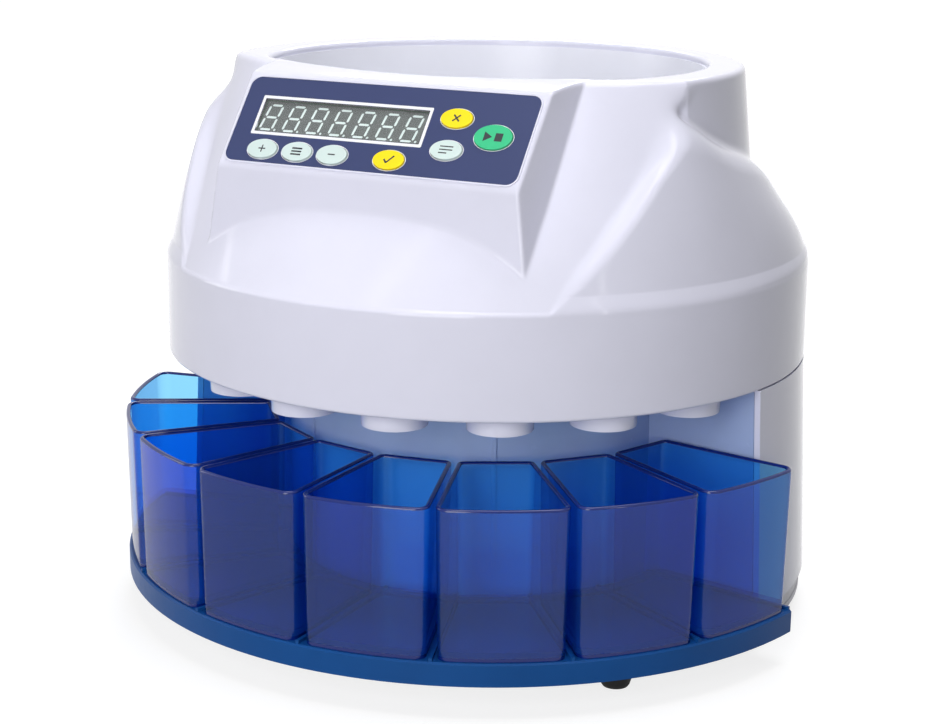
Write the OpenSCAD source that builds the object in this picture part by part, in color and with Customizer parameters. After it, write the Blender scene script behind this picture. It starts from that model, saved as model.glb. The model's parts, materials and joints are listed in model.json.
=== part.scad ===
// Counter-top coin sorter with eight coin cups, a hopper and a control console.
// Everything round is concentric with one upright axis. The front faces -Y and the desk is z = 0.
// Angles round the axis are measured from the front towards +X.

/* [Tray and base] */
// Radius of the tray's front edge
tray_r = 177.5; // [174:0.5:184]
// Angle from one cup to the next
cup_pitch = 19.85; // [19:0.05:20]
// Height of the rubber feet
foot_h = 9; // [7:0.5:12]
// Widest diameter of a foot
foot_d = 18; // [14:0.5:18.5]
// Distance of the feet from the axis
foot_ring_r = 149; // [135:1:149]
// Thickness of the base plate
base_t = 3; // [2:0.5:4]
// Height of the tray's floor over the base plate
tray_floor_h = 13.5; // [11:0.5:16]
// Height of the tray's outer rim
tray_rim_h = 10.5; // [8:0.5:11]
// Wall of the tray
tray_wall = 2.5; // [2:0.1:3]
// Height of the ribs between the cups
rib_h = 1.5; // [1:0.1:3]
// Width of the ribs between the cups
rib_w = 1.6; // [1:0.1:2.2]

/* [Coin cups] */
// Height of a cup
cup_h = 67.9; // [55:0.5:72]
// Gap between the cups' rims and the column
cup_back_gap = 8.3; // [7:0.1:14]
// Wall of a cup
cup_wall = 2.2; // [1.6:0.1:3]
// Floor of a cup
cup_floor_t = 2.4; // [1.6:0.1:4]
// Height of the foot rim under a cup
cup_foot_h = 2; // [1:0.1:3]
// Width of the finger notch in the foot rim
cup_notch_w = 14; // [8:1:20]
// Gap between the rims of neighbouring cups
cup_gap = 2.4; // [2.2:0.1:4]
// Draft of a cup's walls in degrees
cup_draft = 1; // [0.8:0.1:1.5]
// Outer radius of a cup's front corners at the rim
cup_corner_r = 6; // [4:0.5:9]
// Outer radius of a cup's back corners at the rim
cup_back_corner_r = 3.6; // [3:0.2:6]
// Width of the tray's ledge in front of a cup's rim
cup_ledge = 0.4; // [0.2:0.1:3]

/* [Column and rear housing] */
// Radius of the round column
column_r = 97; // [94:0.5:99]
// Wall of the column and its wings
column_wall = 3; // [2:0.1:4]
// How much wider the rear housing is at its foot than the skirt
housing_flare = 4.5; // [3:0.5:7]
// Wall of the rear housing
housing_wall = 3; // [2:0.1:4]
// Height of the base rim that carries the rear housing
base_rim_h = 10; // [7:0.5:14]
// Height of the deck over the desk, where the top cover starts
deck_z = 125; // [120:0.5:135]
// Thickness of the deck
deck_t = 4; // [3:0.5:5]
// Visible seam between the mouldings
seam = 0.4; // [0.2:0.1:0.8]
// Half width of the flat at the back that carries the sockets
flat_half_w = 54; // [50:1:58]
// Height of that flat
flat_h = 40; // [34:1:50]

/* [Top cover] */
// Radius of the skirt
skirt_r = 155.5; // [154:0.5:158]
// Height of the skirt
skirt_h = 45.5; // [40:0.5:52]
// Wall of the top cover
cover_wall = 3; // [2.4:0.1:3.6]
// Overall height over the desk
top_z = 263; // [260:0.5:268]
// Radius of the neck at the rim
neck_r = 122.75; // [121:0.25:125]
// Distance of the neck's middle in front of the axis
neck_shift = 4.5; // [3:0.5:6]
// Distance from the axis to the neck's front
neck_front = 69; // [66:0.5:72]
// Radius of the neck's front corners
neck_corner_r = 40; // [30:1:44]
// Draft of the neck's wall in degrees
neck_draft = 6; // [4:0.5:8]
// Radius of the ring that the shoulders follow
shoulder_ring_r = 115; // [112:0.5:118]
// Rounding of the shoulders
shoulder_r = 25; // [22:0.5:28]
// Depth of the shoulder ring below the rim
shoulder_drop = 56.5; // [53:0.5:61]
// Slope of the shoulder ring towards the back in degrees
shoulder_tilt = 16; // [14:0.5:18]

/* [Console] */
// Width of the control panel
panel_w = 146.5; // [142:0.5:150]
// Height of the control panel along its slope
panel_h = 43.8; // [42:0.2:46]
// White border round the control panel
panel_border = 2.6; // [2:0.1:4]
// Thickness of the control panel
panel_t = 1.2; // [1:0.1:1.6]
// How far the control panel stands proud of the border
panel_proud = 0.2; // [0.1:0.1:0.5]
// Slope of the control panel in degrees
panel_tilt = 52.2; // [48:0.2:56]
// Distance of the panel's middle in front of the axis
panel_y = 105.6; // [103:0.2:108]
// Depth of the panel's middle below the rim
panel_drop = 22.3; // [20:0.1:25]
// Width of the console at its foot
console_foot_w = 162; // [156:1:170]
// Width of the display window
display_w = 84.4; // [80:0.2:88]
// Height of the display window
display_h = 17; // [15:0.2:18]

/* [Keys] */
// Width of a key
key_w = 15.2; // [14:0.2:16]
// Height of a key
key_h = 9.4; // [8:0.2:10]
// Width of the start key
start_key_w = 18; // [16:0.2:19]
// Height of the start key
start_key_h = 12; // [10:0.2:13]
// How far a key stands proud of the panel
key_proud = 0.9; // [0.7:0.1:1.4]
// Travel of a key
key_travel = 0.5; // [0.3:0.1:0.6]
// Side clearance of a key
key_gap = 0.3; // [0.2:0.05:0.4]

/* [Hopper and sorting] */
// Radius of the hopper's mouth
bowl_r = 104; // [100:0.5:106]
// Radius of the hopper's foot
bowl_foot_r = 92; // [88:0.5:95]
// Wall of the hopper
bowl_wall = 2.2; // [1.8:0.1:3]
// Distance from the axis to the hopper's flattened front
bowl_front = 76; // [74:0.5:77]
// Radius of that flattened front
bowl_front_r = 200; // [180:1:220]
// Outer diameter of a coin tube at its mouth
tube_d = 29.4; // [28.6:0.2:31]
// Bore of a coin tube
tube_bore_d = 26.8; // [26:0.1:27.2]
// How far a tube hangs below the deck
tube_drop = 8; // [5:0.5:12]
// Width of the flange that a tube rests on the deck with
tube_flange = 3; // [2:0.2:3.4]
// Height of the sorting plate over the deck's top
sort_h = 19; // [17:0.5:22]
// Thickness of the sorting plate
sort_t = 3; // [2:0.5:4]
// Play round a coin in its sorting hole
coin_play = 0.8; // [0.5:0.1:1]
// Radius of the feed disc
disc_r = 89; // [86:0.5:90]
// Diameter of the spindle
spindle_d = 8; // [7:0.5:9]

/* [Drive] */
// Size of the gear teeth, as pitch diameter for each tooth
gear_module = 1.5; // [1.2:0.1:1.6]
// Width of the gear teeth
gear_t = 8; // [6:0.5:10]
// Diameter of the motor
motor_d = 36; // [32:1:40]
// Length of the motor
motor_l = 46; // [40:1:52]

/* [Hidden] */
cup_count = 8;
// Diameters of the coins that the plate sorts, in the order of the holes
coin_d = [16.25, 18.75, 19.75, 21.25, 22.25, 23.25, 24.25, 25.75];
gear_teeth = 72;
pinion_teeth = 16;

// Clearances
slide_gap = 0.2;
fit_gap = 0.3;
bearing_play = 0.04;
eps = 0.01;

// Plan layout
fan_half = cup_count * cup_pitch / 2;
wing_angle = fan_half + 0.3;
rim_angle = wing_angle + 2;
housing_foot_r = skirt_r + housing_flare;
base_step = 1.5;
base_r = housing_foot_r - base_step;
rim_step = 0.2;
rim_root = 1;
axis_y = (tray_r - housing_foot_r) / 2;
cup_depth = tray_r - cup_ledge - column_r - cup_back_gap;
tube_gap = 0.8;
tube_ring_r = skirt_r - cover_wall - tube_d / 2 - tube_flange - tube_gap;

// Levels
base_top = foot_h + base_t;
base_rim_top = foot_h + base_rim_h;
housing_z = base_rim_top + seam;
tray_floor_z = base_top + tray_floor_h;
deck_top = deck_z + deck_t;
sort_z = deck_top + sort_h;
skirt_top = deck_z + skirt_h;
shoulder_z = top_z - shoulder_drop;
panel_z = top_z - panel_drop;

// Rear sockets
flat_y = sqrt(skirt_r * skirt_r - flat_half_w * flat_half_w);
flat_z = base_rim_top + flat_h * 0.75;
inlet_x = -26;
inlet_size = [27, 19];
inlet_flange = 2.5;
inlet_depth = 22;
inlet_pin = [2, 12, 4];
switch_x = 14;
switch_size = [13.4, 19.4];
switch_flange = 2;
socket_depth = 15;
rocker_w = 9.8;
rocker_l = 16.6;
rocker_tilt = 8;
rocker_pin_d = 2.6;
port_x = 38;
port_size = [20, 17];
port_wall = 2;

// Panel places, measured from the middle of the panel along its width and up its slope
key_row_v = -15.2;
key_places = [[-54.6, key_row_v], [-36.5, key_row_v], [-18.4, key_row_v], [10.3, key_row_v],
              [36.1, 7.8], [36.1, -8], [56.2, 0]];
display_place = [-20.4, 2.4];
key_names = ["plus_key", "batch_key", "minus_key", "set_key", "clear_key", "report_key", "start_key"];
start_index = 6;
key_flange = 1.2;
key_flange_t = 1.2;
key_stem_h = 1.3;
window_t = 2.4;
switch_h = 1.6;
board_t = 1.6;
board_gap = panel_t - panel_proud + cover_wall + fit_gap + key_flange_t + key_stem_h
    + 1.2 * key_travel + switch_h;

// Drive
gear_r = gear_module * gear_teeth / 2;
pinion_r = gear_module * pinion_teeth / 2;
motor_y = gear_r + pinion_r;
gear_z = deck_top + 4;
wheel_z = sort_z + sort_t + 0.6;
wheel_t = 3;
wheel_r = tube_ring_r - 18;
finger_r = skirt_r - cover_wall - 3;
finger_w = 10;
finger_root = 6.5;
wheel_hole_ring_r = 62;
wheel_hole_r = 24;
disc_z = wheel_z + wheel_t + 3.4;
disc_t = 3;
disc_rib_h = 1.4;
bowl_z = disc_z + disc_t + disc_rib_h + 0.8;
bearing_d = 22;
bearing_t = 7;
bearing_tube_l = 34;
bearing_flange_t = 5;
bearing_screw_r = 20.5;
shaft_d = 6;
gearbox_h = 18;
motor_screw_x = 15;
post_r = 102;

// Crease between the front of the cover and its shoulders
crease_y = 57;
crease_z = top_z - 22;
crease_slope = 44.1;
crease_lap = 5.5;

// Top of the front, narrowed nearly to a line, and sideways growth of the console towards the back
front_top_share = 0.05;
console_flare = 0.2;
console_back = 14;

// Hopper
bowl_shift = 1.7;
bowl_flange = 7;
bowl_front_flange = 3.5;

// Boards
main_board_place = [-70, 52];
main_board_size = [80, 60];
board_leg_d = 6;
board_leg_h = 6;
board_leg_inset = 6;
transformer_place = [20, 66];
transformer_foot = [52, 44, 4];
transformer_core = [44, 32, 38];
transformer_coil = [32, 46, 26];

// Column ribs
column_rib_a = 29.5;
column_lap = 4;
column_rib_w = 2;
column_rib_proud = 1;

// Screws and bosses
screw_d = 3;
screw_l = 9;
screw_head_h = 2;
boss_d = 8;
boss_web = 3;
foot_stem_d = foot_d / 2;
column_boss_r = column_r - column_wall - boss_d / 2 - 1.5;
tray_boss_r = foot_ring_r - 26;
housing_boss_r = base_r - base_t - fit_gap - boss_d / 2;
cover_boss_d = 9.6;
cover_boss_h = 15;
cover_boss_r = skirt_r - cover_wall - cover_boss_d / 2 + 0.6;

color_white = [0.89, 0.89, 0.94];
color_blue = [0.10, 0.28, 0.55];
color_cup = [0.12, 0.28, 0.72, 0.55];
color_grey = [0.62, 0.63, 0.68];
color_dark = [0.08, 0.08, 0.09];
color_steel = [0.72, 0.73, 0.75];
color_board = [0.10, 0.36, 0.22];

cup_nodes = [for (i = [1:cup_count]) str("coin_cup_", i)];
tube_nodes = [for (i = [1:cup_count]) str("coin_tube_", i)];

// Angle of cup number i
function cup_angle(i) = (i - (cup_count + 1) / 2) * cup_pitch;

// Point at radius r and angle a round the axis
function polar(r, a) = [r * sin(a), -r * cos(a)];

// Points of an arc from angle a0 to a1
function arc(c, r, a0, a1, n) = [for (i = [0:n]) c + polar(r, a0 + (a1 - a0) * i / n)];

function mirrored(points) = [for (i = [len(points) - 1:-1:0]) [-points[i][0], points[i][1]]];

module on_axis() translate([0, axis_y, 0]) children();

// Turns the front to angle a
module at(a) rotate([0, 0, a]) children();

// Sweeps a profile over the front fan, or over the rest of the circle
module fan(half) rotate([0, 0, -90 - half]) rotate_extrude(angle = 2 * half, $fn = 180) children();
module rear_fan(half) rotate([0, 0, -90 + half]) rotate_extrude(angle = 360 - 2 * half, $fn = 180) children();

// Frame of the control panel: x along its width, y up its slope, z out of it, zero on the white border
module on_panel() on_axis() translate([0, -panel_y, panel_z]) rotate([panel_tilt, 0, 0]) children();

module ellipse(w, h) polygon([for (i = [0:47]) [w / 2 * cos(i * 7.5), h / 2 * sin(i * 7.5)]]);

module rounded_rect(w, h, r) {
    c = [w / 2 - r, h / 2 - r];
    quarter = arc(c, r, 90, 180, 6);
    right = concat(arc([c[0], -c[1]], r, 0, 90, 6), quarter);
    polygon(concat(right, mirrored(right)));
}

// Base plate with the rim that carries the rear housing
module base_plate() color(color_grey) on_axis() difference() {
    union() {
        translate([0, 0, foot_h]) cylinder(r = base_r, h = base_t, $fn = 180);
        rear_fan(rim_angle) translate([base_r - base_t, base_top - rim_root])
            square([base_t - rim_step, base_rim_h - base_t + rim_root]);
    }
    foot_places() translate([0, 0, foot_h - 1])
        cylinder(d = foot_stem_d + slide_gap, h = base_t + 2, $fn = 32);
    base_screw_places() translate([0, 0, foot_h]) through_hole(base_t);
}

module foot_places() for (a = [-132, -50.5, 50.5, 132]) at(a) translate([0, -foot_ring_r, 0]) children();

// Places of the screws that hold the column, the tray and the rear housing
module column_screw_places() for (a = [-60, 0, 60]) at(a) translate([0, -column_boss_r, 0]) children();
module tray_screw_places() for (a = [-2.5, 0, 2.5]) at(a * cup_pitch)
    translate([0, -tray_boss_r, 0]) children();
module housing_screw_places() for (a = [-150, -112, 112, 150]) at(a)
    translate([0, -housing_boss_r, 0]) children();
module base_screw_places() {
    column_screw_places() children();
    tray_screw_places() children();
    housing_screw_places() children();
}

// Upright boss with a blind screw hole in its foot
module boss(h) difference() {
    cylinder(d = boss_d, h = h, $fn = 32);
    translate([0, 0, -1]) screw_hole();
}

module screw_hole() cylinder(d = screw_d + 2 * bearing_play, h = screw_l + 2, $fn = 24);
module through_hole(t) translate([0, 0, -1]) cylinder(d = screw_d + fit_gap, h = t + 2, $fn = 24);

module rubber_feet() color(color_dark) on_axis() foot_places() {
    rotate_extrude($fn = 48) polygon([[0, 0], [foot_d * 0.32, 0], [foot_d * 0.36, foot_h * 0.12],
        [foot_d / 2, foot_h], [0, foot_h]]);
    translate([0, 0, foot_h / 2]) cylinder(d = foot_stem_d, h = foot_h / 2 + base_t, $fn = 32);
}

// Blue tray with a skirt, a middle ring and ribs between the cups
module coin_tray() color(color_blue) on_axis() {
    inner = column_r + fit_gap + 0.5;
    rim_z = tray_floor_z - tray_rim_h;
    fan(fan_half) polygon([[inner, base_top], [inner + tray_wall, base_top],
        [inner + tray_wall, tray_floor_z - tray_wall], [tray_r - tray_wall, tray_floor_z - tray_wall],
        [tray_r - tray_wall, rim_z], [tray_r, rim_z], [tray_r, tray_floor_z - 0.8],
        [tray_r - 0.8, tray_floor_z], [inner, tray_floor_z]]);
    fan(fan_half) translate([foot_ring_r - tray_wall / 2, base_top])
        square([tray_wall, tray_floor_h - tray_wall]);
    for (side = [-1, 1]) at(side * fan_half)
        translate([side > 0 ? -tray_wall : 0, -tray_r + 1, rim_z])
            cube([tray_wall, tray_r - 1 - inner - 1, tray_rim_h]);
    for (k = [0:cup_count]) at((k - cup_count / 2) * cup_pitch)
        translate([k == 0 ? 0 : k == cup_count ? -rib_w : -rib_w / 2, -tray_r + 1, tray_floor_z - 1])
            cube([rib_w, tray_r - 1 - inner - 1, rib_h + 1]);
    tray_screw_places() translate([0, 0, base_top]) boss(tray_floor_h - 1);
}

// Plan outline of a cup's rim that faces the front, moved in by an inset
function cup_half(inset) =
    let (h = cup_pitch / 2, g = cup_gap / 2 + inset, front = tray_r - cup_ledge - inset,
         back = tray_r - cup_ledge - cup_depth + inset,
         cf = max(cup_corner_r - inset, 0.5), cb = max(cup_back_corner_r - inset, 0.5),
         along = [sin(h), -cos(h)], inward = [-cos(h), -sin(h)],
         sf = sqrt(pow(front - cf, 2) - pow(g + cf, 2)),
         sb = (back + cb - (g + cb) * sin(h)) / cos(h),
         front_a = h - asin((g + cf) / (front - cf)))
    concat([for (i = [1:4]) polar(front, front_a * i / 5)],
           arc(sf * along + (g + cf) * inward, cf, front_a, 90 + h, 7),
           arc(sb * along + (g + cb) * inward, cb, 90 + h, 180, 5));

module cup_outline(inset) polygon(concat(cup_half(inset), mirrored(cup_half(inset))));

// Drafted form of a cup between two heights, moved in by an inset
module cup_form(inset, low, high) hull() for (z = [low, high]) translate([0, 0, z])
    linear_extrude(eps) cup_outline(inset + (cup_h - z) * tan(cup_draft));

module coin_cup(i) color(color_cup) on_axis() at(cup_angle(i)) translate([0, 0, tray_floor_z + slide_gap])
    difference() {
        cup_form(0, 0, cup_h - eps);
        cup_form(cup_wall, cup_foot_h + cup_floor_t, cup_h);
        cup_form(cup_wall, -1, cup_foot_h - eps);
        translate([-cup_notch_w / 2, -tray_r, -eps]) cube([cup_notch_w, cup_depth / 2, cup_foot_h]);
    }

// Half round column with a flat wing at each side
module column_cover() color(color_grey) on_axis() translate([0, 0, base_top]) {
    h = deck_z - base_top;
    lap = polar(2 * column_r, wing_angle + column_lap);
    difference() {
        union() {
            intersection() {
                cylinder(r = column_r, h = h, $fn = 180);
                linear_extrude(h) polygon([[0, 0], [-lap[0], lap[1]], [-lap[0], -lap[0]],
                    [lap[0], -lap[0]], lap]);
            }
            for (side = [-1, 1]) at(side * wing_angle) translate([side > 0 ? column_wall : 0, 0, 0])
                rotate([90, 0, -90]) linear_extrude(column_wall) wing_profile();
            for (a = [-column_rib_a, column_rib_a]) at(a)
                translate([-column_rib_w / 2, -column_r - column_rib_proud, tray_floor_h + rib_h])
                    cube([column_rib_w, column_rib_proud + 1, h - tray_floor_h - rib_h]);
        }
        translate([0, 0, -1]) cylinder(r = column_r - column_wall, h = h + 2, $fn = 180);
    }
    column_screw_places() {
        boss(2 * screw_l);
        translate([-boss_web / 2, -boss_d / 2 - 2.5, 0]) cube([boss_web, boss_d / 2, 2 * screw_l]);
    }
}

// Wing from the column to the insides of the base rim and of the rear housing
module wing_profile() {
    inset = housing_wall + fit_gap;
    rim_r = base_r - base_t - fit_gap;
    root_r = column_r - 2 * column_wall;
    foot = housing_z - base_top;
    top = deck_z - base_top - slide_gap;
    polygon([[root_r, slide_gap], [rim_r, slide_gap], [rim_r, foot], [housing_foot_r - inset, foot],
        [skirt_r - inset, top], [root_r, top]]);
}

module housing_profile() polygon([[housing_foot_r - housing_wall, housing_z], [housing_foot_r, housing_z],
    [skirt_r, deck_z - seam], [skirt_r - housing_wall, deck_z - seam]]);

// Rear half of the lower housing, with a flat for the sockets
module rear_housing() color(color_white) on_axis() {
    low = flat_z - flat_h / 2;
    difference() {
        union() {
            rear_fan(wing_angle) housing_profile();
            intersection() {
                translate([-flat_half_w, flat_y - housing_wall, low - housing_wall])
                    cube([2 * flat_half_w, 20, flat_h + 2 * housing_wall]);
                translate([0, 0, housing_z]) cylinder(r1 = housing_foot_r - housing_wall / 2,
                    r2 = skirt_r - housing_wall / 2, h = deck_z - housing_z, $fn = 180);
            }
        }
        translate([-flat_half_w * 2, flat_y, low]) cube([flat_half_w * 4, 40, flat_h]);
        rear_hole(inlet_x, inlet_size);
        rear_hole(switch_x, switch_size);
        rear_hole(port_x, port_size);
    }
    housing_screw_places() {
        translate([0, 0, base_top]) boss(3 * screw_l);
        translate([-boss_web / 2, housing_boss_r - housing_foot_r + 1.5, housing_z + 1])
            cube([boss_web, housing_foot_r - housing_boss_r - 2, 2 * screw_l]);
    }
}

module rear_hole(x, size) translate([x, flat_y - housing_wall / 2, flat_z])
    cube([size[0] + 2 * slide_gap, 3 * housing_wall, size[1] + 2 * slide_gap], center = true);

// Mains inlet with an open socket
module power_inlet() color(color_dark) on_axis() translate([inlet_x, flat_y, flat_z]) rotate([90, 0, 0])
    difference() {
        union() {
            translate([0, 0, -inlet_flange]) linear_extrude(inlet_flange)
                rounded_rect(inlet_size[0] + 5, inlet_size[1] + 5, 3);
            linear_extrude(inlet_depth) square(inlet_size, center = true);
        }
        translate([0, 0, -inlet_flange - 1]) linear_extrude(inlet_depth + 1) inlet_mouth();
    }

module inlet_mouth() polygon([[-12, -8], [12, -8], [12, 3.4], [7.4, 8], [-7.4, 8], [-12, 3.4]]);

module inlet_pins() color(color_steel) on_axis() translate([inlet_x, flat_y, flat_z])
    for (p = [[-7, -2], [0, 2], [7, -2]])
        translate([p[0] - inlet_pin[0] / 2, inlet_flange - inlet_depth, p[1] - inlet_pin[2] / 2])
            cube(inlet_pin);

module switch_frame() color(color_dark) on_axis() translate([switch_x, flat_y, flat_z]) rotate([90, 0, 0])
    difference() {
        union() {
            translate([0, 0, -switch_flange]) linear_extrude(switch_flange)
                rounded_rect(switch_size[0] + 4, switch_size[1] + 4, 1.5);
            linear_extrude(socket_depth) square(switch_size, center = true);
        }
        translate([0, 0, -switch_flange - 1]) linear_extrude(switch_flange + 1 + switch_size[1] / 2)
            square([rocker_w, rocker_l] + 2 * fit_gap * [1, 1], center = true);
        rotate([0, 90, 0])
            cylinder(d = rocker_pin_d + 2 * bearing_play, h = rocker_w + 2.4, center = true, $fn = 32);
    }

// Rocker that tips about a cross axis, at rest with its lower half pressed
module power_rocker() color(color_dark) on_axis() translate([switch_x, flat_y, flat_z])
    rotate([rocker_tilt, 0, 0]) rotate([0, 90, 0]) {
        linear_extrude(rocker_w, center = true) intersection() {
            circle(d = rocker_l, $fn = 64);
            polygon([[-rocker_l, -6], [rocker_l, -6], [rocker_l, 4], [0, 2.3], [-rocker_l, 4]]);
        }
        cylinder(d = rocker_pin_d, h = rocker_w + 2.2, center = true, $fn = 32);
    }

module printer_socket() color(color_dark) on_axis() translate([port_x, flat_y, flat_z]) rotate([90, 0, 0])
    difference() {
        translate([0, 0, -1]) linear_extrude(socket_depth) square(port_size, center = true);
        translate([0, 0, -port_wall]) linear_extrude(socket_depth - 1)
            square(port_size - 2 * port_wall * [1, 1], center = true);
    }

// Neck outline at the rim: a circle with a flat front and large front corners
module neck_outline(inset, grow) {
    r = neck_r - inset + grow;
    front = neck_front - inset + grow;
    c = neck_corner_r;
    cy = front - c;
    cx = sqrt(pow(r - c, 2) - pow(cy - neck_shift, 2));
    corner_a = atan2(cx, cy - neck_shift);
    right = concat(arc([cx, -cy], c, 0, corner_a, 8), arc([0, -neck_shift], r, corner_a, 180, 24));
    polygon(concat(right, mirrored(right)));
}

module disc(r, z) translate([0, 0, z]) cylinder(r = r, h = eps, $fn = 96);

// Front of the cover, drawn from the skirt's circle to the neck
module front_form(inset) intersection() {
    hull() {
        disc(skirt_r - inset, skirt_top);
        translate([0, 0, top_z - inset - eps]) linear_extrude(eps) neck_outline(inset, 0);
    }
    ruled_front(inset);
}

// Surface of level lines that straighten from the skirt's circle to the neck's flat front
module ruled_front(inset) {
    r = skirt_r - inset;
    h = top_z - inset - skirt_top;
    lean = (neck_front - inset - front_top_share * r) / h;
    translate([0, 0, skirt_top]) multmatrix([[1, 0, 0, 0], [0, 1, -lean, 0], [0, 0, 1, 0]])
        linear_extrude(h, scale = [1, front_top_share], slices = 1) circle(r = r, $fn = 96);
}

// Shoulders that run down towards the back
module shoulder_form(inset) hull() {
    disc(skirt_r - inset, skirt_top);
    disc(skirt_r - 1.7 - inset, skirt_top + 12);
    translate([0, 0, shoulder_z]) rotate([-shoulder_tilt, 0, 0])
        rotate_extrude($fn = 96) translate([shoulder_ring_r, 0]) circle(r = shoulder_r - inset, $fn = 24);
}

module neck_form(inset) hull() {
    drop = top_z - skirt_top;
    translate([0, 0, top_z - inset - eps]) linear_extrude(eps) neck_outline(inset, 0);
    translate([0, 0, skirt_top]) linear_extrude(eps) neck_outline(inset, drop * tan(neck_draft));
}

// Space on either side of the sloping crease between the front and the shoulders
module on_crease() translate([0, -crease_y, crease_z]) rotate([-crease_slope, 0, 0]) children();
module in_front_of_crease(lead) on_crease() translate([-skirt_r, -2 * skirt_r + lead, -skirt_r])
    cube(2 * skirt_r);
module behind_crease(lead) on_crease() translate([-skirt_r, lead, -skirt_r]) cube(2 * skirt_r);

// Wedge that carries the control panel
module console_form(inset) {
    w = panel_w / 2 + panel_border;
    v = panel_h / 2 + panel_border;
    up = [0, cos(panel_tilt), sin(panel_tilt)];
    out = [0, -sin(panel_tilt), cos(panel_tilt)];
    mid = [0, -panel_y, panel_z];
    foot = console_foot_w / 2;
    foot_z = skirt_top + 2;
    foot_y = -panel_y - v * cos(panel_tilt) - 2.4;
    back_y = console_back - neck_front;
    top_y = -panel_y + v * cos(panel_tilt);
    corners = [mid + v * up + [w, 0, 0], mid - v * up + [w, 0, 0], [foot, foot_y, foot_z],
               [w + console_flare * (-bowl_front - top_y), -bowl_front, top_z - eps / 2],
               [w + console_flare * (back_y - top_y), back_y, top_z - eps / 2],
               [foot + console_flare * (back_y - foot_y), back_y, foot_z]];
    translate(-inset * out) hull() for (c = corners, side = [-1, 1])
        translate([side * (c[0] - inset), c[1], c[2]]) cube(eps, center = true);
}

module cover_form(inset) {
    translate([0, 0, inset > 0 ? deck_z - 1 : deck_z])
        cylinder(r = skirt_r - inset, h = skirt_h + (inset > 0 ? 1 : 0) + eps, $fn = 96);
    intersection() {
        front_form(inset);
        in_front_of_crease(crease_lap - 0.75 * inset);
    }
    intersection() {
        shoulder_form(inset);
        behind_crease(inset);
    }
    neck_form(inset);
    console_form(inset);
}

// Plan outline of the hopper's mouth, grown at its round back and at its flattened front
module bowl_outline(grow, front_grow) intersection() {
    translate([0, -bowl_shift]) circle(r = bowl_r + grow, $fn = 96);
    translate([0, bowl_front_r - bowl_front]) circle(r = bowl_front_r + front_grow, $fn = 240);
}

// Places of the screws that hold the cover to the deck
module cover_screw_places() for (a = [-150, -95, 95, 150]) at(a) translate([0, -cover_boss_r, 0]) children();

// White cover with the skirt, shoulders, neck and console
module top_cover() color(color_white) difference() {
    on_axis() difference() {
        cover_form(0);
        difference() {
            cover_form(cover_wall);
            cover_screw_places() translate([0, 0, deck_top])
                cylinder(d = cover_boss_d, h = cover_boss_h, $fn = 24);
        }
        translate([0, 0, top_z - 2 * cover_wall]) linear_extrude(3 * cover_wall) bowl_outline(0, 0);
        cover_screw_places() translate([0, 0, deck_top]) through_hole(screw_l);
    }
    on_panel() {
        translate([0, 0, -panel_t + panel_proud]) linear_extrude(panel_t)
            rounded_rect(panel_w + slide_gap, panel_h + slide_gap, 4);
        for (i = [0:len(key_places) - 1]) translate(key_places[i]) translate([0, 0, -3 * cover_wall])
            linear_extrude(4 * cover_wall) key_shape(i, 2 * key_gap + 0.6);
        translate([display_place[0], display_place[1], -3 * cover_wall]) linear_extrude(4 * cover_wall)
            square([display_w + slide_gap, display_h + slide_gap], center = true);
    }
}

// Tapered bowl that guides the coins to the feed disc
module hopper_bowl() color(color_white) on_axis() {
    h = top_z - cover_wall - fit_gap - bowl_z;
    difference() {
        union() {
            bowl_body(0, bowl_z, h);
            translate([0, 0, bowl_z + h - bowl_wall]) linear_extrude(bowl_wall)
                bowl_outline(bowl_flange, bowl_front_flange);
        }
        bowl_body(bowl_wall, bowl_z - eps, h + 2 * eps);
    }
}

module bowl_body(inset, z, h) intersection() {
    translate([0, -bowl_shift, z])
        cylinder(r1 = bowl_foot_r + bowl_wall - inset, r2 = bowl_r + bowl_wall - inset, h = h, $fn = 96);
    translate([0, bowl_front_r - bowl_front, z])
        cylinder(r = bowl_front_r + bowl_wall - inset, h = h, $fn = 240);
}

// Panel overlay with holes for the keys and the display
module control_panel() color([0.25, 0.28, 0.45]) on_panel()
    translate([0, 0, -panel_t + panel_proud]) linear_extrude(panel_t) difference() {
        rounded_rect(panel_w, panel_h, 4);
        for (i = [0:len(key_places) - 1]) translate(key_places[i]) key_shape(i, 2 * key_gap);
        translate(display_place) square([display_w, display_h], center = true);
    }

module key_shape(i, grow) ellipse((i == start_index ? start_key_w : key_w) + grow,
                                  (i == start_index ? start_key_h : key_h) + grow);

// Key cap with a flange under the cover and a plunger over its switch
module key_cap(i) {
    yellow = i == 3 || i == 4;
    key_color = i == start_index ? [0.16, 0.68, 0.48] : yellow ? [0.98, 0.86, 0.10] : [0.82, 0.90, 0.89];
    under = panel_proud - panel_t - cover_wall - fit_gap;
    color(key_color) on_panel() translate(key_places[i]) {
        translate([0, 0, under]) linear_extrude(panel_proud + key_proud - under) key_shape(i, 0);
        translate([0, 0, under - key_flange_t]) linear_extrude(key_flange_t) key_shape(i, 2 * key_flange);
        translate([0, 0, under - key_flange_t - key_stem_h]) cylinder(d = 3, h = key_stem_h + 1, $fn = 24);
    }
}

// Clear window in the panel and the digit module behind it
module display_window() color([0.2, 0.21, 0.22, 0.5]) on_panel()
    translate([display_place[0], display_place[1], panel_proud - window_t]) linear_extrude(window_t)
        square([display_w - slide_gap, display_h - slide_gap], center = true);

module display_module() color([0.16, 0.16, 0.17]) on_panel()
    translate([display_place[0], display_place[1], -board_gap])
        linear_extrude(board_gap - window_t + panel_proud - slide_gap)
            square([display_w - 1, display_h - 1], center = true);

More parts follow.
